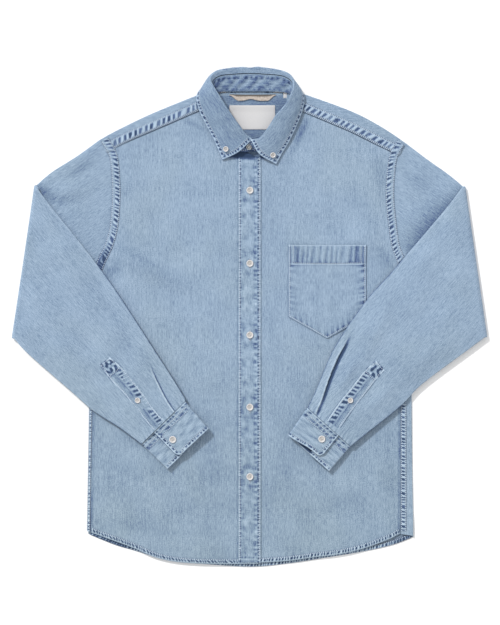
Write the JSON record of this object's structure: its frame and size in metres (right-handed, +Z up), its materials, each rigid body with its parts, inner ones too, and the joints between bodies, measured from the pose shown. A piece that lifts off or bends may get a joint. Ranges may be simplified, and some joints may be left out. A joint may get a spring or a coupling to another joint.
{
  "type": "denim shirt",
  "caption": "Long-sleeved washed denim shirt with a button-down collar and a chest pocket, laid flat on its back with the sleeves folded over the front.",
  "frame": {"origin": "centre of the shirt's plan box, on the surface that it lies on", "axes": "+Y from the hem to the collar, +X towards the wearer's left, +Z up from the surface, out of the front of the shirt"},
  "size_m": [0.7836, 0.8227, 0.024],
  "materials": {
    "denim": "light washed indigo twill, matt, darker and puckered at the seams",
    "button": "off-white, soft gloss",
    "label": "plain off-white woven label",
    "tape": "pale herringbone tape"
  },
  "bodies": {
    "root": {"back_panel": "denim", "yoke": "denim", "front_right": "denim", "front_left": "denim", "front_placket": "denim", "pocket": "denim", "sleeve_right": "denim", "sleeve_left": "denim", "cuff_right": "denim", "cuff_left": "denim", "sleeve_placket_right": "denim", "sleeve_placket_left": "denim", "neckband": "denim", "collar_leaf": "denim", "front_button_1": "button", "front_button_2": "button", "front_button_3": "button", "front_button_4": "button", "front_button_5": "button", "neckband_button": "button", "collar_button_right": "button", "collar_button_left": "button", "cuff_button_right": "button", "cuff_button_left": "button", "sleeve_button_right": "button", "sleeve_button_left": "button", "neck_label": "label", "size_label": "label", "hanger_loop": "tape"}
  },
  "joints": []
}
